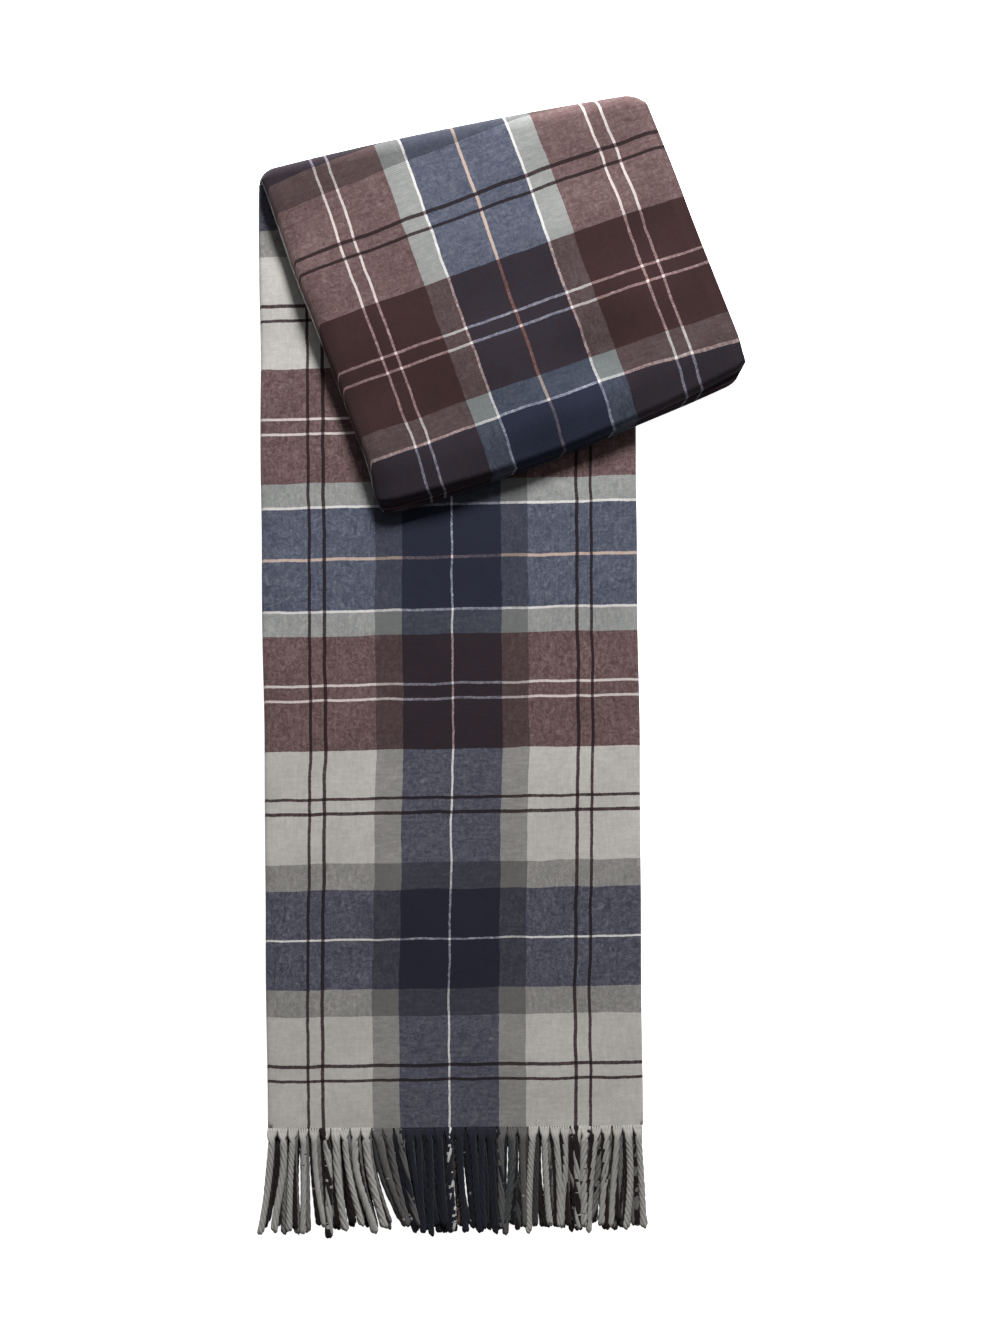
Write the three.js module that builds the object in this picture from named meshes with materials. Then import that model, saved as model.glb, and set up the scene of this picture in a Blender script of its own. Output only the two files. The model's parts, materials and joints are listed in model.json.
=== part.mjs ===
// A fringed woollen throw, folded lengthwise into four plies. The strip's head end is
// turned down over the front on a slanted fold, and its last stretch is tucked under.
// Millimetres. +X runs to the right, +Y towards the turned-down end, +Z up off the table.
import * as THREE from 'three';

const DEGREE = Math.PI / 180;

// The cloth.
const clothThickness = 2;
const plyGap = 0.3;
const plyPitch = clothThickness + plyGap;
const plyCount = 4;
const stackHeight = plyCount * plyPitch - plyGap;
const throwWidth = 1504;
const stripWidth = throwWidth / plyCount;
const halfWidth = stripWidth / 2;

// The folds. Lengths are along the middle of the strip, from one fold's axis to the next.
const stripLength = 978;
const flapLength = 308;
const tuckLength = 155;
const foldAngle = 10.4 * DEGREE;
const stripLean = 0.55 * DEGREE;
const foldClearance = 0.5;
const bendSegments = 10;

// The fringe: loose bundles of warp yarn.
const tasselCount = 36;
const tasselsPerPiece = 2;
const tasselLength = 106;
const tasselSpread = 8;
const tasselSlit = 1.5;
const tasselTipWidth = 5;
const rootDepth = 5;
const tuckedTasselLength = 95;
const unevennessStep = 2.4;

// Stack levels: the strip on the table, the tucked end on it, and the flap on top.
const tuckLevel = stackHeight + plyGap;
const flapLevel = tuckLevel + stackHeight + plyGap;
const foldAxisHeight = (flapLevel + stackHeight) / 2;

// Cloth that goes round a slanted fold comes out shifted along it.
const foldSlip = Math.PI * (foldAxisHeight - stackHeight / 2) * Math.tan(foldAngle);
const tuckAxisHeight = flapLevel - plyGap / 2;

// Half the widths of the warp's two middle bands. Light grey lies beyond them.
const navyReach = 50;
const midGreyReach = 77;

const colours = {
  strip: 0x77706f,
  flap: 0x5c4a4c,
  tuck: 0x5a5460,
  fold: 0x4a4b58,
  lightGrey: 0xaca9a4,
  midGrey: 0x878582,
  navy: 0x44485a,
};

function addMesh(parent, name, geometry, colour) {
  const material = new THREE.MeshStandardMaterial({ color: colour, roughness: 0.95, metalness: 0 });
  const mesh = new THREE.Mesh(geometry, material);
  mesh.name = name;
  parent.add(mesh);
}

// A flat piece of cloth with the given plan outline, lying on the given level.
function layer(corners, level) {
  const outline = new THREE.Shape(corners.map(([x, y]) => new THREE.Vector2(x, y)));
  const geometry = new THREE.ExtrudeGeometry(outline, { depth: clothThickness, bevelEnabled: false });
  return geometry.translate(0, 0, level);
}

// Cloth bent round half a turn. It bulges towards bulgeAngle in plan, and runs off from
// the start point with the bulge on its left.
function bend(outerRadius, length, start, bulgeAngle) {
  const section = new THREE.Shape();
  section.absarc(0, 0, outerRadius, -Math.PI / 2, Math.PI / 2, false);
  section.absarc(0, 0, outerRadius - clothThickness, Math.PI / 2, -Math.PI / 2, true);
  const settings = { depth: length, bevelEnabled: false, curveSegments: bendSegments };
  const geometry = new THREE.ExtrudeGeometry(section, settings);
  const bulge = new THREE.Vector3(Math.cos(bulgeAngle), Math.sin(bulgeAngle), 0);
  const up = new THREE.Vector3(0, 0, 1);
  const placement = new THREE.Matrix4().makeBasis(bulge, up, bulge.clone().cross(up));
  return geometry.applyMatrix4(placement.setPosition(...start));
}

// Four plies with their lengthwise side folds. The left edge has one fold inside another.
// The right edge has one fold, which joins ply rightFold to the ply above it, and the
// two other plies end there in a selvedge. headAt gives the head edge's y at each x.
function foldedStack(parent, name, colour, level, footY, headAt, rightFold) {
  const leftAxis = -halfWidth + stackHeight / 2;
  const singleRadius = (plyPitch + clothThickness) / 2;
  const rightAxis = halfWidth - singleRadius;
  for (let ply = 0; ply < plyCount; ply += 1) {
    const folded = ply === rightFold || ply === rightFold + 1;
    const left = leftAxis + plyGap;
    const right = folded ? rightAxis - plyGap : halfWidth;
    const corners = [[left, footY], [right, footY], [right, headAt(right)], [left, headAt(left)]];
    addMesh(parent, `${name}_ply_${ply + 1}`, layer(corners, level + ply * plyPitch), colour);
  }
  const middle = level + stackHeight / 2;
  const leftLength = Math.min(headAt(-halfWidth), headAt(leftAxis)) - footY;
  const leftRadii = { outer: stackHeight / 2, inner: singleRadius };
  for (const [place, radius] of Object.entries(leftRadii)) {
    const fold = bend(radius, leftLength, [leftAxis, footY, middle], Math.PI);
    addMesh(parent, `${name}_left_fold_${place}`, fold, colours.fold);
  }
  const rightHead = Math.min(headAt(rightAxis), headAt(halfWidth));
  const rightMiddle = level + rightFold * plyPitch + singleRadius;
  const fold = bend(singleRadius, rightHead - footY, [rightAxis, rightHead, rightMiddle], 0);
  addMesh(parent, `${name}_right_fold`, fold, colours.fold);
}

// Nested half-turn bends that carry every ply round one crosswise fold.
function nestedBends(parent, name, outerRadius, length, start, bulgeAngle) {
  for (let ply = 0; ply < plyCount; ply += 1) {
    const geometry = bend(outerRadius - ply * plyPitch, length, start, bulgeAngle);
    addMesh(parent, `${name}_bend_${ply + 1}`, geometry, colours.fold);
  }
}

// A row of tapering tassels that hang from one narrow root band, pointing along -y.
function tasselRow(left, count, length, level) {
  const pitch = stripWidth / tasselCount;
  const corners = [[left, 0]];
  for (let tassel = 0; tassel < count; tassel += 1) {
    const start = left + tassel * pitch;
    const end = start + pitch - tasselSlit;
    const middle = (start + end) / 2;
    corners.push([start, -rootDepth]);
    corners.push([middle - tasselTipWidth / 2, -length]);
    corners.push([middle + tasselTipWidth / 2, -length]);
    corners.push([end, -rootDepth]);
  }
  corners.push([left + count * pitch - tasselSlit, 0]);
  return layer(corners, level);
}

// The warp colour at a distance from the strip's middle: navy, mid grey, then light grey.
function warpColour(distance) {
  if (distance < navyReach) return colours.navy;
  return distance < midGreyReach ? colours.midGrey : colours.lightGrey;
}

// The point on the head fold's line at a distance from the strip's middle, to the right.
function alongFold(distance) {
  return [distance * Math.cos(foldAngle), stripLength + distance * Math.sin(foldAngle)];
}

function addStrip(parent) {
  const headAt = (x) => stripLength + x * Math.tan(foldAngle) - foldClearance;
  foldedStack(parent, 'strip', colours.strip, 0, 0, headAt, 2);
  const foldWidth = stripWidth / Math.cos(foldAngle);
  const [startX, startY] = alongFold((foldSlip - foldWidth) / 2);
  const start = [startX, startY, foldAxisHeight];
  nestedBends(parent, 'head', foldAxisHeight, foldWidth, start, foldAngle + Math.PI / 2);
}

// The flap's own frame starts on the head fold's axis, with +y back up towards the fold.
function addFlap(parent) {
  const flap = new THREE.Group();
  flap.name = 'flap';
  flap.position.set(...alongFold(foldSlip), 0);
  flap.rotation.z = 2 * foldAngle;
  const footY = -flapLength + plyGap;
  const flapHeadAt = (x) => -x * Math.tan(foldAngle) - foldClearance;
  const tuckHead = -flapLength + tuckLength;
  foldedStack(flap, 'flap', colours.flap, flapLevel, footY, flapHeadAt, 0);
  foldedStack(flap, 'tuck', colours.tuck, tuckLevel, footY, () => tuckHead, 2);
  const tuckRadius = stackHeight + plyGap / 2;
  const start = [halfWidth, -flapLength, tuckAxisHeight];
  nestedBends(flap, 'tuck', tuckRadius, stripWidth, start, -Math.PI / 2);
  for (let ply = 0; ply < plyCount; ply += 1) {
    const level = tuckLevel + ply * plyPitch;
    const row = tasselRow(-halfWidth, tasselCount, tuckedTasselLength, level);
    row.rotateZ(Math.PI).translate(0, tuckHead + plyGap, 0);
    addMesh(flap, `tucked_fringe_${ply + 1}`, row, colours.midGrey);
  }
  parent.add(flap);
}

function addFringe(parent) {
  const fringe = new THREE.Group();
  fringe.name = 'fringe';
  fringe.position.y = -plyGap;
  for (let ply = 0; ply < plyCount - 1; ply += 1) {
    const row = tasselRow(-halfWidth, tasselCount, tasselLength - tasselSpread, ply * plyPitch);
    addMesh(fringe, `lower_fringe_${ply + 1}`, row, colours.midGrey);
  }
  const pieceWidth = (stripWidth / tasselCount) * tasselsPerPiece;
  const topLevel = (plyCount - 1) * plyPitch;
  for (let piece = 0; piece < tasselCount / tasselsPerPiece; piece += 1) {
    const left = -halfWidth + piece * pieceWidth;
    const length = tasselLength - tasselSpread * Math.abs(Math.sin(piece * unevennessStep));
    const colour = warpColour(Math.abs(left + pieceWidth / 2));
    const row = tasselRow(left, tasselsPerPiece, length, topLevel);
    addMesh(fringe, `tassels_${piece + 1}`, row, colour);
  }
  parent.add(fringe);
}

// Puts the middle of the whole throw's underside at the origin.
function centreOnTable(object) {
  object.updateMatrixWorld(true);
  const bounds = new THREE.Box3().setFromObject(object, true);
  const middle = bounds.getCenter(new THREE.Vector3());
  object.position.set(-middle.x, -middle.y, -bounds.min.z);
}

const foldedThrow = new THREE.Group();
foldedThrow.name = 'folded_throw';
foldedThrow.rotation.z = stripLean;
addStrip(foldedThrow);
addFlap(foldedThrow);
addFringe(foldedThrow);
centreOnTable(foldedThrow);

export default foldedThrow;
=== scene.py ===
# The looks of a folded tartan throw: one woven cloth folded lengthwise into four plies, its
# head end turned down on a slanted fold and tucked under, and a twisted fringe at each end.
import json
import math

import bpy
import numpy as np
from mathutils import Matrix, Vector


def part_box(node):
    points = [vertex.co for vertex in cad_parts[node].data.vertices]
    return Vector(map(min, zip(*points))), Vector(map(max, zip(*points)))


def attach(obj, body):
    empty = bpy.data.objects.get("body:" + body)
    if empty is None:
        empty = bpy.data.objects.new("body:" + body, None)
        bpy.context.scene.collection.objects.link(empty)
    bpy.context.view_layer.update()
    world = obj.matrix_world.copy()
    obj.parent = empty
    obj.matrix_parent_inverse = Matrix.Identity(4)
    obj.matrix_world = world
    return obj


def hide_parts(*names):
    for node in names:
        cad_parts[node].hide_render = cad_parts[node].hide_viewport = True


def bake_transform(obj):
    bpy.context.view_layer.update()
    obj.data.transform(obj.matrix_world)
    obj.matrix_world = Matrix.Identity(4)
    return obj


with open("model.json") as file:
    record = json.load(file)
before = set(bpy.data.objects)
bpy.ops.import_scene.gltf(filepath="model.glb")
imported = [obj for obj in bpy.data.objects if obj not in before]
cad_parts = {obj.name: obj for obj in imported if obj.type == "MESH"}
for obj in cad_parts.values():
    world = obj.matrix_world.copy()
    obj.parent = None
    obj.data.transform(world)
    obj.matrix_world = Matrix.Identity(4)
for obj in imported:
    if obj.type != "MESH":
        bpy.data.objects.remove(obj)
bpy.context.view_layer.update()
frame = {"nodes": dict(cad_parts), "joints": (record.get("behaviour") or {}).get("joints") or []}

MM = 0.001
PLIES = 4
TOP_PLY = PLIES - 1


def numbered(prefix):
    """The names of one kind of CAD node, one for each ply."""
    return [f"{prefix}_{number}" for number in range(1, PLIES + 1)]


# ---------------------------------------------------------------- sizes from the frame, metres

joints = {joint["name"]: joint for joint in frame["joints"]}
fold_line = -np.array(joints["flap_unfold"]["axis"])[:2]
fold_point = np.array(joints["flap_unfold"]["pos_m"])
strip_across = -np.array(joints["fringe_lift"]["axis"])[:2]
strip_along = np.array([-strip_across[1], strip_across[0]])
hem_point = np.array(joints["fringe_lift"]["pos_m"])[:2]

ply_boxes = [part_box(name) for name in numbered("strip_ply")]
thickness = ply_boxes[0][1].z - ply_boxes[0][0].z
ply_heights = [(low.z + high.z) / 2 for low, high in ply_boxes]
stack_height = ply_boxes[TOP_PLY][1].z
fold_height = fold_point[2]
tuck_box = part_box("tuck_bend_1")
tuck_axis_height = (tuck_box[0].z + tuck_box[1].z) / 2

strip_width = 376 * MM
half_width = strip_width / 2
flap_length = 308 * MM
tuck_length = 155 * MM

fold_angle = math.asin(strip_across[0] * fold_line[1] - strip_across[1] * fold_line[0])
fold_slope = math.tan(fold_angle)
fold_out = np.array([-fold_line[1], fold_line[0]])
strip_length = (fold_point[:2] - hem_point) @ strip_along
strip_length -= (fold_point[:2] - hem_point) @ strip_across * fold_slope
fold_centre = hem_point + strip_length * strip_along
flap_down = fold_line * math.sin(fold_angle) - fold_out * math.cos(fold_angle)
flap_across = fold_line * math.cos(fold_angle) + fold_out * math.sin(fold_angle)

# ---------------------------------------------------------------- the tartan

# Bands of the sett, from the middle of the blue to the middle of the navy, where it mirrors.
# Each row is where the band ends, in millimetres, and its yarn.
SETT = [
    (1.2, "peach"), (50.7, "blue"), (53.2, "white"), (76.5, "sage"), (124.8, "maroon"),
    (127.3, "blush"), (139.6, "maroon"), (142.1, "blush"), (191.5, "maroon"), (238.6, "stone"),
    (241.9, "wine"), (253.1, "stone"), (256.4, "wine"), (304.6, "stone"), (331.8, "ash"),
    (380.1, "navy"), (381.5, "white"),
]
HALF_REPEAT = SETT[-1][0] * MM
# A colour ramp is only about 256 steps fine, so the half repeat is split over several.
RAMP_PARTS = 3
# The yarns' colours as the eye sees them under the scene's light, 0 to 255.
YARNS = {
    "peach": (180, 145, 130), "blue": (31, 36, 54), "white": (217, 215, 214),
    "sage": (108, 112, 113), "maroon": (51, 30, 31), "blush": (208, 193, 190),
    "stone": (178, 175, 170), "wine": (32, 21, 23), "ash": (98, 96, 95),
    "navy": (28, 29, 43),
}
# Fine yarns stand proud of the cloth, so each shows by this much more than its half share.
PROUD = {"white": 0.16, "blush": 0.12, "wine": 0.1}
KEY_EXPOSURE = 1.75


def linear(channel):
    """A display colour channel, 0 to 255, as linear light."""
    share = channel / 255
    return share / 12.92 if share < 0.04045 else ((share + 0.055) / 1.055) ** 2.4


def yarn_colour(name):
    """The yarn's own reflectance: its seen colour divided by the light that falls on it.
    The fourth value is how proud of the cloth it stands."""
    return [linear(channel) / KEY_EXPOSURE for channel in YARNS[name]] + [PROUD.get(name, 0.0)]


# ---------------------------------------------------------------- small helpers

RIPPLE_WAVES = 7
RIPPLE_PEAK = 4


def smooth(value):
    """0 below 0, 1 above 1, with a smooth rise between."""
    t = np.clip(value, 0, 1)
    return t * t * (3 - 2 * t)


def hump(value, centre, width):
    """1 at the centre, fading to 0 on both sides of it."""
    return np.exp(-(((value - centre) / width) ** 2))


def ripple(x, y, wavelength, seed):
    """A smooth random surface between about -1 and 1, made of a few crossing waves."""
    rng = np.random.default_rng(seed)
    total = np.zeros(np.broadcast(x, y).shape)
    for _ in range(RIPPLE_WAVES):
        heading, phase = rng.uniform(0, 2 * math.pi, 2)
        stretch = wavelength * rng.uniform(0.6, 1.6)
        travel = x * math.cos(heading) + y * math.sin(heading)
        total = total + np.sin(2 * math.pi * travel / stretch + phase)
    return total / RIPPLE_PEAK


def unit(vectors, smallest):
    """The vectors made one long. Those shorter than the smallest length stay near nought."""
    return vectors / np.maximum(np.linalg.norm(vectors, axis=-1, keepdims=True), smallest)


def link_new(name, data):
    thing = bpy.data.objects.new(name, data)
    bpy.context.scene.collection.objects.link(thing)
    return thing


def mesh_piece(name, points, faces, uv, material):
    """A smooth-shaded mesh object whose UV map holds each point's place in the flat cloth."""
    mesh = bpy.data.meshes.new(name)
    mesh.from_pydata(points.tolist(), [], faces)
    corners = np.empty(len(mesh.loops), np.int32)
    mesh.loops.foreach_get("vertex_index", corners)
    layer = mesh.uv_layers.new(name="cloth")
    layer.data.foreach_set("uv", uv[corners].astype(np.float32).ravel())
    mesh.shade_smooth()
    mesh.materials.append(material)
    return link_new(name, mesh)


# ---------------------------------------------------------------- camera, light and floor


def add_camera():
    """Straight down over the throw, with the whole of the strip upright in the frame."""
    view_height = 1.334
    distance = 1.6
    off_centre = 0.5 * MM
    data = bpy.data.cameras.new("camera")
    data.sensor_width = 36
    data.lens = data.sensor_width * distance / view_height
    camera = link_new("camera", data)
    camera.location = (off_centre, 0, distance + stack_height)
    bpy.context.scene.camera = camera


def add_key_light():
    """A large soft lamp beyond the turned-down end, low enough to shade the pile's lower side."""
    location = Vector((0.35, 3.0, 1.3))
    data = bpy.data.lights.new("key", "AREA")
    data.shape = "DISK"
    data.size = 0.72
    data.energy = 425
    light = link_new("key", data)
    light.location = location
    light.rotation_euler = (-location).to_track_quat("-Z", "Y").to_euler()


def add_surround():
    """Even white light from all round."""
    world = bpy.data.worlds.new("studio")
    world.use_nodes = True
    surround = world.node_tree.nodes["Background"]
    surround.inputs["Color"].default_value = (1, 1, 1, 1)
    surround.inputs["Strength"].default_value = 0.25
    bpy.context.scene.world = world
    bpy.context.scene.view_settings.view_transform = "Standard"


def add_floor():
    half = 6.0
    corners = np.array([[-half, -half, 0], [half, -half, 0], [half, half, 0], [-half, half, 0]])
    material = bpy.data.materials.new("floor")
    material.use_nodes = True
    shader = material.node_tree.nodes["Principled BSDF"]
    shader.inputs["Base Color"].default_value = (0.9, 0.9, 0.9, 1)
    shader.inputs["Roughness"].default_value = 0.9
    shader.inputs["Emission Color"].default_value = (1, 1, 1, 1)
    shader.inputs["Emission Strength"].default_value = 0.92
    floor = mesh_piece("floor", corners, [[0, 1, 2, 3]], corners[:, :2], material)


# ---------------------------------------------------------------- materials

# How far the edges of the tartan's bands wander, and how far single fibres stray over them.
BAND_WANDER = 4 * MM
FIBRE_STRAY = 1.3 * MM
# How far the yarns' places stray in the fringe.
FRINGE_STRAY = 7 * MM
# How many times a metre the cloth's slubs change, across their yarn and along it.
SLUB_ACROSS = 330
SLUB_ALONG = 70
TWILL_WIDTH = 2.6 * MM


class Nodes:
    """Adds nodes to one tree, with each input given as a value or as another node's output."""

    def __init__(self, tree):
        self.tree = tree

    def add(self, kind, inputs=(), **settings):
        node = self.tree.nodes.new(kind)
        for key, value in settings.items():
            setattr(node, key, value)
        for key, value in dict(inputs).items():
            if isinstance(value, bpy.types.NodeSocket):
                self.tree.links.new(value, node.inputs[key])
            else:
                node.inputs[key].default_value = value
        return node

    def math(self, operation, first, second=0.0, third=0.0):
        inputs = {0: first, 1: second, 2: third}
        return self.add("ShaderNodeMath", inputs, operation=operation).outputs[0]

    def mix(self, blend, factor, first, second):
        """Mixes two colours. Inputs 6 and 7 and output 2 are the Mix node's colour sockets."""
        inputs = {"Factor": factor, 6: first, 7: second}
        node = self.add("ShaderNodeMix", inputs, data_type="RGBA", blend_type=blend)
        return node.outputs[2]

    def noise(self, vector, scale, detail=2.0, roughness=0.5, distortion=0.0):
        inputs = {"Vector": vector, "Scale": scale, "Detail": detail, "Roughness": roughness}
        inputs["Distortion"] = distortion
        return self.add("ShaderNodeTexNoise", inputs).outputs["Fac"]

    def drawn_noise(self, across, along, scales, detail, roughness=0.5):
        """Noise with its own scale across and along the cloth, drawn out along the smaller."""
        inputs = {
            "X": self.math("MULTIPLY", across, scales[0]),
            "Y": self.math("MULTIPLY", along, scales[1]),
        }
        vector = self.add("ShaderNodeCombineXYZ", inputs).outputs["Vector"]
        return self.noise(vector, 1.0, detail, roughness)

    def wander(self, value, noise, reach):
        """Moves a coordinate by up to half of reach either way, as yarns wander in soft cloth."""
        return self.math("MULTIPLY_ADD", self.math("SUBTRACT", noise, 0.5), reach, value)

    def gamma(self, colour, power):
        return self.add("ShaderNodeGamma", {"Color": colour, "Gamma": power}).outputs["Color"]

    def yarn_ramp(self, folded, part):
        """The yarns of one part of the half repeat, as a colour ramp."""
        place = self.math("MULTIPLY_ADD", folded, RAMP_PARTS / HALF_REPEAT, -part)
        ramp = self.add("ShaderNodeValToRGB", {"Fac": place})
        ramp.color_ramp.interpolation = "CONSTANT"
        stops = ramp.color_ramp.elements
        stops.remove(stops[1])
        start = 0.0
        for end, name in SETT:
            end_share = end * MM / HALF_REPEAT * RAMP_PARTS - part
            if end_share > 0 and start < 1:
                stop = stops[0] if start <= 0 else stops.new(start)
                stop.color = yarn_colour(name)
            start = end_share
        return ramp.outputs["Color"], ramp.outputs["Alpha"]

    def yarn(self, distance):
        """The yarn this far from a blue band's middle: its colour, and how proud it stands."""
        folded = self.math("PINGPONG", distance, HALF_REPEAT)
        colour, proud = self.yarn_ramp(folded, 0)
        for part in range(1, RAMP_PARTS):
            beyond = self.math("GREATER_THAN", folded, part * HALF_REPEAT / RAMP_PARTS)
            next_colour, next_proud = self.yarn_ramp(folded, part)
            colour = self.mix("MIX", beyond, colour, next_colour)
            change = self.math("SUBTRACT", next_proud, proud)
            proud = self.math("MULTIPLY_ADD", change, beyond, proud)
        return colour, proud


def new_wool(name):
    """A matt, slightly furry material, and the flat cloth's coordinates in metres."""
    material = bpy.data.materials.new(name)
    material.use_nodes = True
    shader = material.node_tree.nodes["Principled BSDF"]
    shader.inputs["Roughness"].default_value = 0.92
    shader.inputs["Specular IOR Level"].default_value = 0.08
    shader.inputs["Sheen Weight"].default_value = 0.05
    shader.inputs["Sheen Roughness"].default_value = 0.55
    nodes = Nodes(material.node_tree)
    place = nodes.add("ShaderNodeUVMap", uv_map="cloth").outputs["UV"]
    axes = nodes.add("ShaderNodeSeparateXYZ", {"Vector": place})
    return material, nodes, place, axes.outputs["X"], axes.outputs["Y"]


def finish_wool(material, nodes, colour, shade, relief, strength, depth):
    """Gives the material its toned colour and its fine relief, up to depth deep."""
    toned = nodes.add("ShaderNodeHueSaturation", {"Color": colour, "Value": shade})
    bump_inputs = {"Strength": strength, "Distance": depth, "Height": relief}
    bump = nodes.add("ShaderNodeBump", bump_inputs)
    shader = material.node_tree.nodes["Principled BSDF"]
    nodes.tree.links.new(toned.outputs["Color"], shader.inputs["Base Color"])
    nodes.tree.links.new(bump.outputs["Normal"], shader.inputs["Normal"])


def crossing_yarns(nodes, place, across, along):
    """The colours and the proudness of the warp and the weft, with wandering, fuzzy edges."""
    fuzz = nodes.noise(place, 420, 3, 0.6)
    drift_across = nodes.drawn_noise(across, along, (8, 24), 2)
    drift_along = nodes.drawn_noise(across, along, (24, 8), 2)
    warp_place = nodes.wander(across, drift_across, BAND_WANDER)
    weft_place = nodes.wander(along, drift_along, BAND_WANDER)
    warp = nodes.yarn(nodes.wander(warp_place, fuzz, FIBRE_STRAY))
    weft = nodes.yarn(nodes.wander(weft_place, fuzz, FIBRE_STRAY))
    return warp, weft


def brushed_tartan():
    """Soft brushed twill: crossing yarns mix as dyes do, with slubs, nap and wandering edges."""
    material, nodes, place, across, along = new_wool("brushed_tartan")
    (warp, warp_proud), (weft, weft_proud) = crossing_yarns(nodes, place, across, along)
    warp_slub = nodes.drawn_noise(across, along, (SLUB_ACROSS, SLUB_ALONG), 3, 0.6)
    weft_slub = nodes.drawn_noise(across, along, (SLUB_ALONG, SLUB_ACROSS), 3, 0.6)
    mottle = nodes.noise(place, 130, 3, 0.65, 2.2)
    beads = nodes.noise(place, 260, 2, 0.5)
    lead = nodes.math("SUBTRACT", warp_slub, weft_slub)
    even_share = nodes.math("MULTIPLY_ADD", mottle, 0.7, 0.15)
    warp_share = nodes.math("MULTIPLY_ADD", lead, 0.25, even_share)
    prouder = nodes.math("SUBTRACT", warp_proud, weft_proud)
    beaded = nodes.math("MULTIPLY", prouder, nodes.math("MULTIPLY", beads, 2.0))
    warp_share = nodes.math("ADD", warp_share, beaded)
    weft_share = nodes.math("SUBTRACT", 1.0, warp_share)
    warp_part = nodes.gamma(warp, warp_share)
    weft_part = nodes.gamma(weft, weft_share)
    heather = nodes.mix("MULTIPLY", 1.0, warp_part, weft_part)

    cloud = nodes.noise(place, 38, 4, 0.55)
    grain = nodes.math("ADD", nodes.math("ADD", warp_slub, weft_slub), mottle)
    shade = nodes.math("MULTIPLY_ADD", cloud, 0.26, nodes.math("MULTIPLY_ADD", grain, 0.32, 0.39))
    twill_phase = nodes.math("MULTIPLY", nodes.math("ADD", across, along), 2 * math.pi / TWILL_WIDTH)
    nap = nodes.noise(place, 900, 4, 0.65)
    relief = nodes.math("MULTIPLY_ADD", nodes.math("SINE", twill_phase), 0.12, nap)
    relief = nodes.math("MULTIPLY_ADD", cloud, 0.8, relief)
    finish_wool(material, nodes, heather, shade, relief, strength=0.35, depth=0.8 * MM)
    return material


def twisted_yarn(name, brightness):
    """The fringe's yarn: warp colours only, with fibres that run along each strand. Its colour is
    scaled by brightness, and a low brightness gives a darker copy that is painted shade.
    """
    material, nodes, _, across, along = new_wool(name)
    strays = nodes.drawn_noise(across, along, (700, 130), 2)
    warp = nodes.yarn(nodes.wander(across, strays, FRINGE_STRAY))[0]
    fibres = nodes.drawn_noise(across, along, (2600, 160), 3, 0.6)
    shade = nodes.math("MULTIPLY_ADD", fibres, 0.5 * brightness, 0.7 * brightness)
    finish_wool(material, nodes, warp, shade, fibres, strength=0.5, depth=0.5 * MM)
    return material


# ---------------------------------------------------------------- the folded cloth

# The mesh's steps across and along the cloth, and its finer steps near the side edges and
# round the side folds.
COLUMN_STEP = 6 * MM
ROW_STEP = 6.5 * MM
EDGE_COLUMNS = 8
OUTER_FOLD_STEPS = 14
INNER_FOLD_STEPS = 8
HEAD_FOLD_STEPS = 24
ROLL_STEPS = 44

# The pile's side edges are thinner by this share, over this width.
EDGE_WIDTH = 14 * MM
EDGE_DROP = 0.12
# The crosswise folds are rounded off this near to their two ends, down to this share.
END_RADIUS = 15 * MM
END_TAPER = 0.85
# Soft swells of the whole pile: upwards, in its thickness as a share, and sideways.
SWELL = 0.5 * MM
LOFT = 0.07
WOBBLE = 0.8 * MM

# The head fold bulges out by BOW in its middle, and by BOW_TILT more at its right end. The
# upper plies are pressed down by HEAD_SINK. Both fade out over BOW_REACH, away from the fold.
BOW = 4.5 * MM
BOW_TILT = 2.2 * MM
BOW_REACH = 70 * MM
HEAD_SINK = 1.2 * MM

# The flap's plies fan out to both sides. Most of the right side's fanning is in the head fold.
RIGHT_SPREAD = 7 * MM
RIGHT_SPREAD_REACH = 90 * MM
HEAD_SPREAD_SHARE = 0.8
LEFT_SPREAD = 3.5 * MM
LEFT_SPREAD_REACH = 120 * MM
# The flap has some slack, and hangs lower in its middle. Its cloth is drawn a little tight.
FLAP_SLACK = 5 * MM
FLAP_BELLY = 7.5 * MM
FLAP_EASE = 0.95
# The corner beyond the strip's side sinks, over this width, to this far above the table.
OVERHANG_START = 2 * MM
OVERHANG_WIDTH = 62 * MM
OVERHANG_REST = 0.8 * MM

# The roll along the flap's lower edge. Its lower half, the tucked cloth, sticks out as a lip
# and is set back to the left. Its upper half leans left, and the whole roll is pressed flatter.
ROLL_LIP = 10 * MM
ROLL_SHIFT = 13 * MM
ROLL_LEAN = 4 * MM
ROLL_EDGE_LEAN = 0.4 * ROLL_LEAN
ROLL_DROP = 0.24
# How far before the roll each of these begins.
ROLL_SHIFT_REACH = 55 * MM
ROLL_REACH = 45 * MM
ROLL_EDGE_REACH = 22 * MM
ROLL_DROP_REACH = 34 * MM
ROLL_DROP_WIDTH = 44 * MM
# Half the height over which the roll turns from its upper half into the tucked cloth.
TUCK_TURN = 1.4 * MM

# Where the pattern lies. The roll's upper lip takes less cloth, and a pleat is hidden in it.
LIP_EASE = 11 * MM
LIP_EASE_WIDTH = 63 * MM
PLEAT = 18 * MM
# The warp strays to the left on the lower strip and on the flap, and to the right between.
WARP_SLIDE = 5.5 * MM
LOWER_STRIP = 560 * MM
MIDDLE_SLIDE = 3 * MM
MIDDLE_START = 650 * MM
MIDDLE_FADE = 250 * MM
FLAP_SLIDE = 7.5 * MM
FLAP_SLIDE_REACH = 240 * MM
SIDE_FADE = 25 * MM
# The weft: from the hem to the middle of a blue band, its slope across the strip, how much
# that grows for each metre of strip, and how far the back plies have slipped and turned.
WEFT_OFFSET = 570.3 * MM
WEFT_SKEW = 0.0035
WEFT_SKEW_GROWTH = 0.019
BACK_SLIP = 4 * MM
BACK_SKEW = 0.013


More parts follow.
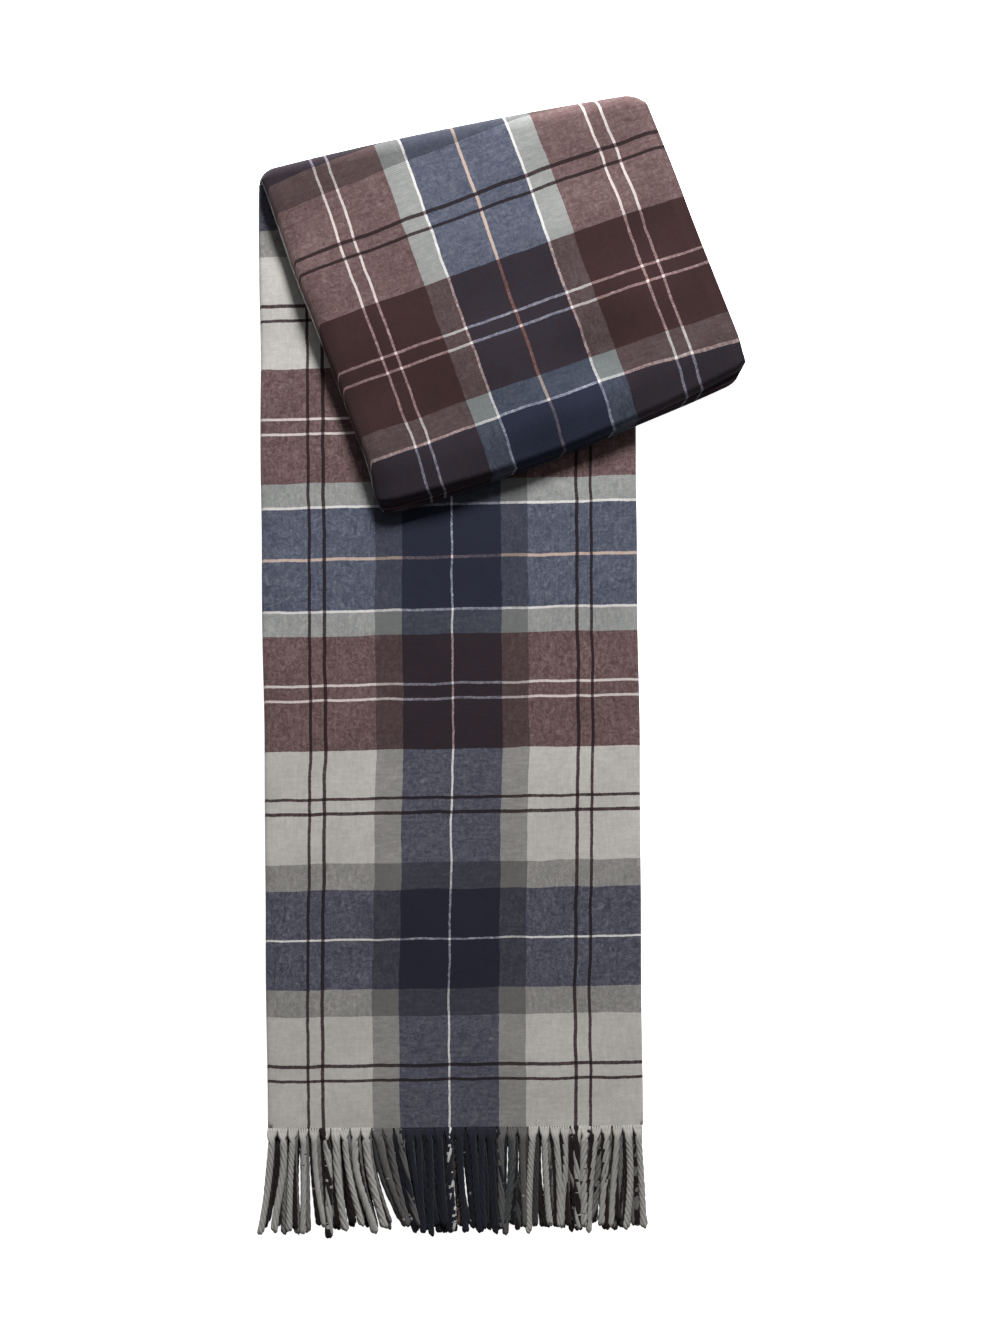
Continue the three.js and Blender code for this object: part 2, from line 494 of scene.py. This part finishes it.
def folded_profile():
    """Across the folded strip, from the bottom ply's selvedge round all four plies.

    Its columns are a step apart, and closer near the edges, where the folds' ends are rounded.
    Returns each column's distance from the strip's middle, its height, and its place across
    the flat cloth measured from the middle of the blue band in the bottom ply."""
    bottom, second, third, top = ply_heights
    left = -half_width + stack_height / 2
    right = half_width - (second - bottom) / 2 - thickness / 2
    path = []

    def line(start, end, height):
        length = abs(end - start)
        close = np.linspace(0, END_RADIUS, EDGE_COLUMNS)[:-1]
        count = round((length - 2 * END_RADIUS) / COLUMN_STEP)
        apart = np.linspace(END_RADIUS, length - END_RADIUS, count + 1)
        for place in np.concatenate([close, apart, length - close[::-1]]):
            path.append((start + (end - start) * place / length, height))

    def turn(x, low, high, side, count):
        radius = (high - low) / 2
        middle = (low + high) / 2
        rising = path[-1][1] < middle
        for angle in np.linspace(-math.pi / 2, math.pi / 2, count + 1)[1:-1]:
            lift = math.sin(angle) if rising else -math.sin(angle)
            path.append((x + side * radius * math.cos(angle), middle + radius * lift))

    line(half_width, left, bottom)
    turn(left, bottom, top, -1, OUTER_FOLD_STEPS)
    line(left, right, top)
    turn(right, third, top, 1, INNER_FOLD_STEPS)
    line(right, left, third)
    turn(left, second, third, -1, INNER_FOLD_STEPS)
    line(left, half_width, second)
    x, height = np.array(path).T
    across = np.concatenate([[0], np.cumsum(np.hypot(np.diff(x), np.diff(height)))])
    top_middle = np.interp(0, x[height == top], across[height == top])
    return x, height, across - top_middle + HALF_REPEAT


def dome(x):
    """1 at the strip's middle, falling to 0 at its two side edges."""
    return 1 - (x / half_width) ** 2


def head_at(x):
    """How far the strip runs, from the hem to the head fold, at a distance from its middle."""
    return strip_length + x * fold_slope


def weft_place(x, height, run):
    """The place along the cloth, measured from the middle of a blue band. The weft lies a
    little askew, more so towards the head end, and the back plies have slipped."""
    back = smooth((ply_heights[TOP_PLY] - height) / (ply_heights[TOP_PLY] - ply_heights[0]))
    skew = WEFT_SKEW + WEFT_SKEW_GROWTH * run + BACK_SKEW * back
    return run - WEFT_OFFSET - skew * x + BACK_SLIP * back


def warp_shift(x, left_shift):
    """The change in the place across the cloth that moves its warp to the left by left_shift.
    It fades out at the side folds, and changes sign with the way each ply runs."""
    inside = smooth((half_width - np.abs(x)) / SIDE_FADE)
    return left_shift * inside * np.sign(np.gradient(x))


def strip_slide(x, run):
    """How far the warp lies to the left of its place on the strip. It strays a little."""
    upper = smooth(run / LOWER_STRIP)
    middle = dome(x) * upper * (1 - smooth((run - MIDDLE_START) / MIDDLE_FADE))
    return WARP_SLIDE * (1 - upper) - MIDDLE_SLIDE * middle


def plan_points(plan, height):
    return np.concatenate([plan, np.broadcast_to(height, plan.shape[:-1])[..., None]], -1)


def end_roundness(x):
    """How much of a crosswise fold's bulge is left towards its two rounded ends."""
    depth = np.clip(1 - (half_width - np.abs(x)) / END_RADIUS, 0, 1)
    return np.sqrt(1 - END_TAPER * depth ** 2)


def bow(x):
    """How far the head fold bulges outwards, beyond its own turn."""
    return BOW * dome(x) + BOW_TILT * x / half_width


def right_spread(x):
    """How far the flap's plies fan out towards its right edge."""
    return RIGHT_SPREAD * np.maximum(x / half_width, 0) ** 2


def uneven(points):
    """Soft swells of the whole pile, the same for every ply so that none cuts another."""
    x, y, z = points[..., 0], points[..., 1], points[..., 2]
    swell = SWELL * (1 + np.clip(ripple(x, y, 0.15, 3), -1, 1))
    loft = 1 + LOFT * ripple(x, y, 0.09, 8)
    wobble = WOBBLE * ripple(y, z, 0.23, 5)
    return np.stack([x + wobble, y, z * loft + swell], -1)


def settle(points, x, turned):
    """How the pile really lies. turned is 0 on the strip and 1 on the flap.

    Its soft side edges are thinner, the head fold is flattened a little, and the flap's
    corner beyond the strip's edge sinks towards the table."""
    out = (points[..., :2] - fold_centre) @ fold_out
    nearness = hump(np.minimum(out, 0), 0, BOW_REACH)
    points[..., 2] -= HEAD_SINK * nearness * smooth((points[..., 2] - stack_height) / stack_height)
    beyond = (points[..., :2] - hem_point) @ strip_across - half_width
    sag = (stack_height - OVERHANG_REST) * smooth((beyond - OVERHANG_START) / OVERHANG_WIDTH)
    points[..., 2] -= sag * turned
    edge = 1 - smooth((half_width - np.abs(x)) / EDGE_WIDTH)
    points[..., 2] -= EDGE_DROP * edge * (points[..., 2] - stack_height * turned)
    return uneven(points)


def strip_rows(x, height):
    """The long strip, from the hem to where the head fold begins."""
    share = np.linspace(0, 1, round(strip_length / ROW_STEP) + 1)[:, None]
    run = share * head_at(x)
    plan = hem_point + run[..., None] * strip_along + x[:, None] * strip_across
    points = settle(plan_points(plan, height), x, 0.0)
    return points, weft_place(x, height, run), warp_shift(x, strip_slide(x, run))


def head_rows(x, height):
    """Half a turn about the slanted fold, on which each yarn follows a helix."""
    turn = np.linspace(0, math.pi, HEAD_FOLD_STEPS + 1)[:, None]
    radius = fold_height - height
    along = x / math.cos(fold_angle) + radius * turn * fold_slope
    along = along + HEAD_SPREAD_SHARE * right_spread(x) * smooth(turn / math.pi)
    out = (radius * end_roundness(x) + bow(x)) * np.sin(turn)
    plan = fold_centre + along[..., None] * fold_line + out[..., None] * fold_out
    points = plan_points(plan, fold_height - radius * np.cos(turn))
    run = head_at(x) + radius * turn / math.cos(fold_angle) + bow(x) * turn / math.pi
    return settle(points, x, turn / math.pi), weft_place(x, height, run)


def roll_lip(x):
    """How far the tucked cloth sticks out below the flap, most at the roll's two ends."""
    return ROLL_LIP * (0.3 + 0.7 * (x / half_width) ** 2)


def before_roll(past, reach):
    """0 on the flap, rising to 1 over the last reach before the roll."""
    return smooth(past / reach + 1)


def flap_path(x, reach, inner):
    """Down the flap, round the roll and back up the tuck: how far from the head fold each
    row is, and its height. Also returns the flap's own rows, as shares of its reach."""
    flap_share = np.linspace(0, 1, round(flap_length / ROW_STEP) + 1)[:, None]
    roll_turn = np.linspace(0, math.pi, ROLL_STEPS + 1)[1:, None]
    tuck_share = np.linspace(0, 1, round(tuck_length / ROW_STEP) + 1)[1:, None]
    travel = np.concatenate([
        flap_share * reach,
        reach + inner * np.sin(roll_turn) * end_roundness(x),
        reach - tuck_share * tuck_length,
    ])
    level = np.concatenate([
        np.broadcast_to(tuck_axis_height + inner, (len(flap_share), len(x))),
        tuck_axis_height + inner * np.cos(roll_turn),
        np.broadcast_to(tuck_axis_height - inner, (len(tuck_share), len(x))),
    ])
    return travel, level, flap_share


def flap_sideways(x, travel, past, tucked):
    """How far the flap's cloth lies to the right of its place across it."""
    leftness = np.maximum(-x / half_width, 0)
    upper = 1 - tucked
    fan_left = LEFT_SPREAD * leftness ** 2 * smooth(travel / LEFT_SPREAD_REACH)
    fan_right = (1 - HEAD_SPREAD_SHARE) * right_spread(x) * smooth(travel / RIGHT_SPREAD_REACH)
    set_back = ROLL_SHIFT * (0.65 + 0.35 * x / half_width)
    set_back = set_back * tucked * before_roll(past, ROLL_SHIFT_REACH)
    lean = ROLL_LEAN * leftness ** 3 * upper * before_roll(past, ROLL_REACH)
    edge_lean = ROLL_EDGE_LEAN * upper * before_roll(past, ROLL_EDGE_REACH)
    return fan_right - fan_left - set_back - lean - edge_lean


def flap_rows(x, height):
    """The turned-down flap, the roll along its lower edge, and the tucked end under it."""
    radius = fold_height - height
    shift = x / math.cos(fold_angle) + math.pi * radius * fold_slope
    start = fold_centre + (shift + HEAD_SPREAD_SHARE * right_spread(x))[:, None] * fold_line
    reach = flap_length + FLAP_SLACK + FLAP_BELLY * dome(x) - roll_lip(x)
    reach = reach - shift * math.sin(fold_angle)
    inner = 2 * fold_height - height - tuck_axis_height
    travel, level, flap_share = flap_path(x, reach, inner)

    past = travel - reach
    tucked = smooth((tuck_axis_height + TUCK_TURN - level) / (2 * TUCK_TURN))
    slide = warp_shift(x, FLAP_SLIDE * dome(x) * smooth(travel / FLAP_SLIDE_REACH))
    sideways = flap_sideways(x, travel, past, tucked)
    travel = travel + roll_lip(x) * tucked * before_roll(past, ROLL_REACH)
    sunk = ROLL_DROP * smooth((past + ROLL_DROP_REACH) / ROLL_DROP_WIDTH)
    level = level - sunk * (level - stack_height)
    plan = start + travel[..., None] * flap_down + sideways[..., None] * flap_across
    points = settle(plan_points(plan, level), x, 1.0)

    steps = np.linalg.norm(np.diff(points[len(flap_share) - 1:], axis=0), axis=-1)
    run = np.concatenate([flap_share * reach, reach + np.cumsum(steps, axis=0)]) * FLAP_EASE
    run = run - LIP_EASE * smooth((past + ROLL_REACH) / LIP_EASE_WIDTH) * (1 - tucked)
    run = run + bow(x) * hump(travel, 0, BOW_REACH)
    run = run + head_at(x) + radius * math.pi / math.cos(fold_angle) + PLEAT * tucked
    return points, weft_place(x, height, run), slide


# ---------------------------------------------------------------- cloth with a thickness

# How far a rounded cut edge stands out, as a share of the thickness.
EDGE_ROUND = 0.35
SHARP_ANGLE = math.radians(55)


def rim_round(points, down, right, open_edges):
    """The grid's outer points in order, and how far each one's rim stands out from it."""
    rows, columns = points.shape[:2]
    index = np.arange(rows * columns).reshape(rows, columns)
    edges = {
        "first_row": (index[0, ::-1], -down),
        "first_column": (index[:, 0], -right),
        "last_row": (index[-1], down),
        "last_column": (index[::-1, -1], right),
    }
    ring, outward = [], []
    for side, (line, direction) in edges.items():
        push = EDGE_ROUND * thickness if side in open_edges else 0.0
        ring.append(line[:-1])
        outward.append(unit(direction.reshape(-1, 3)[line], 1e-12)[:-1] * push)
    return np.concatenate(ring), np.concatenate(outward)


def shell(name, points, across, along, material, open_edges):
    """Gives a grid of points the cloth's thickness and closes it round its four edges.

    open_edges names the edges where the real cloth ends, which are rounded."""
    rows, columns = points.shape[:2]
    down, right = np.gradient(points, axis=0), np.gradient(points, axis=1)
    half_normal = unit(np.cross(right, down), 1e-12) * thickness / 2
    uv = np.stack([np.broadcast_to(across, along.shape), along], -1).reshape(-1, 2)
    index = np.arange(rows * columns).reshape(rows, columns)
    quads = np.stack([index[:-1, :-1], index[:-1, 1:], index[1:, 1:], index[1:, :-1]], -1)
    quads = quads.reshape(-1, 4)

    ring, outward = rim_round(points, down, right, open_edges)
    rim = 2 * rows * columns + np.arange(len(ring))
    under = ring + rows * columns
    next_ring, next_rim, next_under = (np.roll(line, -1) for line in (ring, rim, under))
    faces = np.concatenate([
        quads,
        quads[:, ::-1] + rows * columns,
        np.stack([ring, next_ring, next_rim, rim], -1),
        np.stack([rim, next_rim, next_under, under], -1),
    ])
    all_points = np.concatenate([
        (points + half_normal).reshape(-1, 3),
        (points - half_normal).reshape(-1, 3),
        points.reshape(-1, 3)[ring] + outward,
    ])
    piece = mesh_piece(name, all_points, faces.tolist(), np.concatenate([uv, uv, uv[ring]]), material)
    piece.data.set_sharp_from_angle(angle=SHARP_ANGLE)
    return piece


def share_bend(piece, rows, columns):
    """Sets each point for a moment at its row's share of the turn, bakes the object's transform into
    the mesh, and then gives the cloth its folded shape again."""
    vertices = piece.data.vertices
    folded = np.empty(len(vertices) * 3)
    vertices.foreach_get("co", folded)
    row_share = np.linspace(0, 1, rows)
    share = np.repeat(row_share, columns)
    first_row, last_row = np.zeros(columns - 1), np.ones(columns - 1)
    ring = [first_row, row_share[:-1], last_row, row_share[:0:-1]]
    unrolled = np.zeros((len(vertices), 3))
    unrolled[:, 2] = np.concatenate([share, share, *ring])
    vertices.foreach_set("co", unrolled.ravel())
    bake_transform(piece)
    vertices.foreach_set("co", folded)
    piece.data.update()


def stack_nodes(prefix):
    """The CAD nodes of one folded stretch: its plies and its lengthwise side folds."""
    folds = [f"{prefix}_left_fold_outer", f"{prefix}_left_fold_inner", f"{prefix}_right_fold"]
    return numbered(f"{prefix}_ply") + folds


profile = folded_profile()


def add_strip(material):
    x, height, across = profile
    points, along, slide = strip_rows(x, height)
    edges = ("first_row", "first_column", "last_column")
    strip = shell("strip_cloth", points, across + slide, along, material, edges)
    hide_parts(*stack_nodes("strip"))
    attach(strip, "strip")
    return strip


def add_head_fold(material):
    x, height, across = profile
    points, along = head_rows(x, height)
    edges = ("first_column", "last_column")
    head = shell("head_fold_cloth", points, across, along, material, edges)
    share_bend(head, *points.shape[:2])
    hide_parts(*numbered("head_bend"))
    return head


def add_flap(material):
    x, height, across = profile
    points, along, slide = flap_rows(x, height)
    edges = ("last_row", "first_column", "last_column")
    flap = shell("flap_cloth", points, across + slide, along, material, edges)
    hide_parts(*stack_nodes("flap"), *stack_nodes("tuck"), *numbered("tuck_bend"))
    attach(flap, "flap")
    return flap


# ---------------------------------------------------------------- the fringes

TASSELS = 36
TASSEL_PITCH = strip_width / TASSELS
STRANDS = 4
STRAND_RADIUS = 2.0 * MM
TWIST_RADIUS = 1.1 * MM
# How far from the hem a tassel's strands have drawn together, grown full and come to rest.
GATHER_LENGTH = 15 * MM
SWELL_LENGTH = 7 * MM
DROP_LENGTH = 12 * MM
# Each strand starts just inside the hem, and has a blunt, rounded tip.
STRAND_INSET = 0.5 * MM
TIP_START = 4 * MM
TIP_RINGS = np.array([2.2, 1.3, 0.6, 0.15, 0.0]) * MM
TIP_ROUND = 2.6 * MM

FOOT_LENGTH = 103 * MM
LOWER_FOOT_LENGTH = 100 * MM
FOOT_REST = 5.3 * MM
FOOT_REST_STEP = 1.6 * MM
FOOT_BULK = 1.15
TUCKED_LENGTH = 92 * MM


def tube(centres, radii, sides):
    """A closed tube of rings round a path, with a point at the middle of each end."""
    forward = unit(np.gradient(centres, axis=0), 1e-9)
    side = unit(np.cross(forward, [0, 0, 1]), 1e-9)
    lift = np.cross(side, forward)
    angles = np.linspace(0, 2 * math.pi, sides, endpoint=False)[None, :, None]
    around = np.cos(angles) * side[:, None] + np.sin(angles) * lift[:, None]
    rings = centres[:, None] + radii[:, None, None] * around
    count = len(centres)
    points = np.concatenate([rings.reshape(-1, 3), centres[:1], centres[-1:]])
    index = np.arange(count * sides).reshape(count, sides)
    after = np.roll(index, -1, axis=1)
    quads = np.stack([index[:-1], index[1:], after[1:], after[:-1]], -1).reshape(-1, 4)
    first = np.full(sides, count * sides)
    caps = np.concatenate([
        np.stack([first, index[0], after[0]], -1),
        np.stack([first + 1, after[-1], index[-1]], -1),
    ])
    return points, quads, caps


def strand_offset(number):
    """How far a strand leaves the hem to the right of its tassel's middle."""
    return (number - (STRANDS - 1) / 2) * TASSEL_PITCH / STRANDS


class Tassel:
    """One twisted bundle of warp yarn, in the row's own frame: across, out from the hem, up."""

    def __init__(self, rng, x, length, root_height, rest_height, lean, bulk=1.0):
        self.x, self.length, self.lean = x, length, lean
        self.root_height = root_height
        self.rest_height = rest_height + rng.uniform(-0.4, 0.8) * MM
        self.turn = rng.uniform(0, 2 * math.pi)
        self.pitch = rng.uniform(24 * MM, 60 * MM) * rng.choice([-1, 1])
        self.sway = rng.normal(0, 1.5 * MM)
        self.wave = rng.uniform(0.7, 1.6)
        self.full = rng.uniform(0.85, 1.2) * bulk
        self.tip_scatter = rng.uniform(-2.2 * MM, 0.6 * MM, STRANDS)

    def strand(self, number, rings):
        """The middle line of one strand, and its radius along it."""
        end = self.length + self.tip_scatter[number]
        out = np.concatenate([np.linspace(-STRAND_INSET, end - TIP_START, rings), end - TIP_RINGS])
        share = np.clip(out / self.length, 0, 1)
        gather = smooth(out / GATHER_LENGTH)
        loosening = 1 + 0.25 * smooth((share - 0.8) / 0.2)
        coil = TWIST_RADIUS * self.full * gather * loosening
        phase = self.turn + 2 * math.pi * (number / STRANDS + out / self.pitch)
        across = self.x + strand_offset(number) * (1 - gather)
        across += self.lean * np.maximum(out, 0) * (0.4 + 0.6 * share)
        across += self.sway * np.sin(math.pi * share * self.wave) + coil * np.sin(phase)
        drop = smooth(out / DROP_LENGTH)
        height = self.root_height + (self.rest_height - self.root_height) * drop
        height += 0.55 * coil * np.cos(phase)
        swell = 0.5 + 0.5 * smooth(out / SWELL_LENGTH)
        tip = np.sqrt(np.clip((end - out) / TIP_ROUND, 0.02, 1))
        radius = STRAND_RADIUS * self.full * swell * tip
        return np.stack([across, out * (1 - 0.5 * self.lean ** 2), height], -1), radius


def warp_on_ply(ply):
    """Across the strip on one ply: distances from its middle, and their places in the warp."""
    x, height, across = profile
    on_ply = np.isclose(height, ply_heights[ply])
    order = np.argsort(x[on_ply])
    return x[on_ply][order], across[on_ply][order]


def tassel_row(name, ply, tassels, place, material, rings=34, sides=7):
    """A row of tassels on one ply. place turns (across, out, up) into the shared frame."""
    warp_x, warp_places = warp_on_ply(ply)
    points, quads, caps, uv, total = [], [], [], [], 0
    for tassel in tassels:
        for number in range(STRANDS):
            path, radius = tassel.strand(number, rings)
            own_points, own_quads, own_caps = tube(place(path), radius, sides)
            own_x = tassel.x + 0.7 * strand_offset(number)
            own_uv = np.zeros((len(own_points), 2))
            own_uv[:, 0] = np.interp(own_x + WARP_SLIDE, warp_x, warp_places)
            own_uv[:-2, 1] = np.repeat(path[:, 1], sides)
            own_uv[-1, 1] = path[-1, 1]
            points.append(own_points)
            quads.append(own_quads + total)
            caps.append(own_caps + total)
            uv.append(own_uv)
            total += len(own_points)
    faces = np.concatenate(quads).tolist() + np.concatenate(caps).tolist()
    return mesh_piece(name, np.concatenate(points), faces, np.concatenate(uv), material)


def foot_place(path):
    plan = hem_point + path[:, :1] * strip_across - path[:, 1:2] * strip_along
    return uneven(np.concatenate([plan, path[:, 2:]], 1))


def foot_lean(x):
    """The tassels left of the middle lean to the right, and neighbours draw together in locks."""
    patch = 0.24 * hump(x, -84 * MM, 40 * MM)
    middle = 0.06 * hump(x, -20 * MM, 45 * MM)
    locks = 0.035 * math.sin(x / (13 * MM)) + 0.03 * math.sin(x / (4.6 * MM))
    edges = 0.045 * smooth((abs(x) - 150 * MM) / (38 * MM))
    return patch + middle + locks - edges


def foot_tassels(ply):
    """The loose tassels of one ply. Lower plies sit in the gaps of the one above."""
    rng = np.random.default_rng(40 + ply)
    is_top = ply == TOP_PLY
    outermost = 0.97 * half_width
    rest = FOOT_REST + FOOT_REST_STEP * ply
    tassels = []
    for number in range(TASSELS):
        x = (number + 0.5 - TASSELS / 2) * TASSEL_PITCH
        if not is_top:
            x = np.clip(x + (0.5 - 0.33 * ply) * TASSEL_PITCH, -outermost, outermost)
        x += rng.normal(0, 0.5 * MM)
        length = (FOOT_LENGTH if is_top else LOWER_FOOT_LENGTH) + rng.normal(0, 3.2 * MM)
        lean = foot_lean(x) + rng.normal(0, 0.025)
        tassels.append(Tassel(rng, x, length, ply_heights[ply], rest, lean, FOOT_BULK))
    return tassels


def tuck_place(path):
    """The head end's fringe carries on from the tucked end, back up under the flap."""
    travel = flap_length + FLAP_SLACK - ROLL_LIP - tuck_length - path[:, 1]
    across = path[:, 0] + math.pi * (fold_height - stack_height / 2) * fold_slope
    plan = fold_centre + travel[:, None] * flap_down + across[:, None] * flap_across
    return settle(np.concatenate([plan, path[:, 2:]], 1), path[:, 0], 1.0)


def tucked_tassels(ply, level):
    """The head end's tassels, which lie flat and a little closer together."""
    rng = np.random.default_rng(60 + ply)
    tassels = []
    for number in range(TASSELS):
        x = (number + 0.5 - TASSELS / 2) * TASSEL_PITCH * 0.97
        tassels.append(Tassel(rng, x, TUCKED_LENGTH, level, level, rng.normal(0, 0.02)))
    return tassels


def add_foot_row(ply, material):
    """One ply's fringe at the foot end."""
    row = tassel_row(f"foot_fringe_{ply + 1}", ply, foot_tassels(ply), foot_place, material)
    if ply == TOP_PLY:
        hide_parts(*[name for name in frame["nodes"] if name.startswith("tassels_")])
    else:
        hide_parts(f"lower_fringe_{ply + 1}")
    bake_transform(row)
    return row


def add_tucked_row(ply, material):
    """One ply's fringe at the head end, hidden in the tuck, so it is made more coarsely."""
    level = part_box(f"tuck_ply_{ply + 1}")[0].z + thickness / 2
    tassels = tucked_tassels(ply, level)
    name = f"tucked_fringe_row_{ply + 1}"
    row = tassel_row(name, ply, tassels, tuck_place, material, rings=14, sides=5)
    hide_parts(f"tucked_fringe_{ply + 1}")
    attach(row, "flap")
    return row


def add_fringes(material, shaded_material):
    foot, tucked = [], []
    for ply in range(PLIES):
        # The lower plies' and the tucked fringes take the darker yarn, which is painted shade.
        foot.append(add_foot_row(ply, material if ply == TOP_PLY else shaded_material))
        tucked.append(add_tucked_row(ply, shaded_material))
    return foot, tucked


# ---------------------------------------------------------------- the scene


add_camera()
add_key_light()
add_surround()
add_floor()
tartan = brushed_tartan()
yarn = twisted_yarn("twisted_yarn", 0.72)
# A darker copy of the same yarn, painted shade for tassels that lie in shadow.
shaded_yarn = twisted_yarn("twisted_yarn_in_shade", 0.3)
strip_cloth = add_strip(tartan)
head_cloth = add_head_fold(tartan)
flap_cloth = add_flap(tartan)
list(add_fringes(yarn, shaded_yarn))
